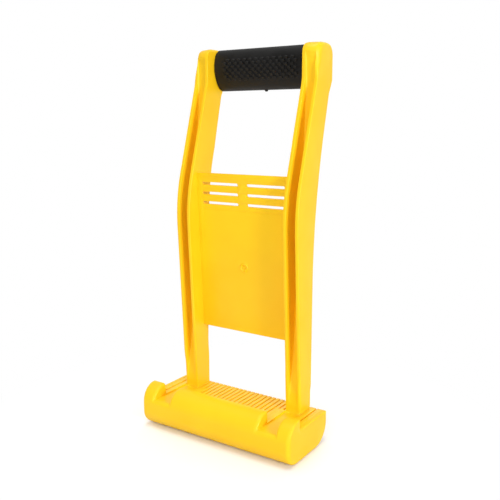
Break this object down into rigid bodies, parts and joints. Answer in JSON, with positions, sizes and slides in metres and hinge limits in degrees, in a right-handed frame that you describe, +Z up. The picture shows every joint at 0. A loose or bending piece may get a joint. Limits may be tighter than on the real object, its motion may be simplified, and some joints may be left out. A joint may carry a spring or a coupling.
{
  "type": "panel carrier",
  "caption": "One-hand board carrier: a ribbed cradle with a notched front lip, bowed channel arms, a slotted panel between them and an oval rubber grip at the top.",
  "frame": {"origin": "on the ground, under the middle of the cradle's length and depth, on the flat base", "axes": "+Z up from the base to the grip, +X along the cradle, -Y towards the board and its lip, +Y towards the person who carries it"},
  "size_m": [0.17, 0.1074, 0.37],
  "materials": {
    "frame_plastic": "satin",
    "grip_rubber": "matt, with a band of small raised diamonds"
  },
  "bodies": {
    "root": {"left_arm": "frame_plastic", "right_arm": "frame_plastic", "centre_panel": "frame_plastic", "handle_bar": "frame_plastic", "grip_sleeve": "grip_rubber", "cradle_shell": "frame_plastic", "cradle_floor": "frame_plastic", "left_end_wall": "frame_plastic", "right_end_wall": "frame_plastic", "left_lip": "frame_plastic", "middle_lip": "frame_plastic", "right_lip": "frame_plastic", "cradle_gussets": "frame_plastic"}
  },
  "joints": []
}
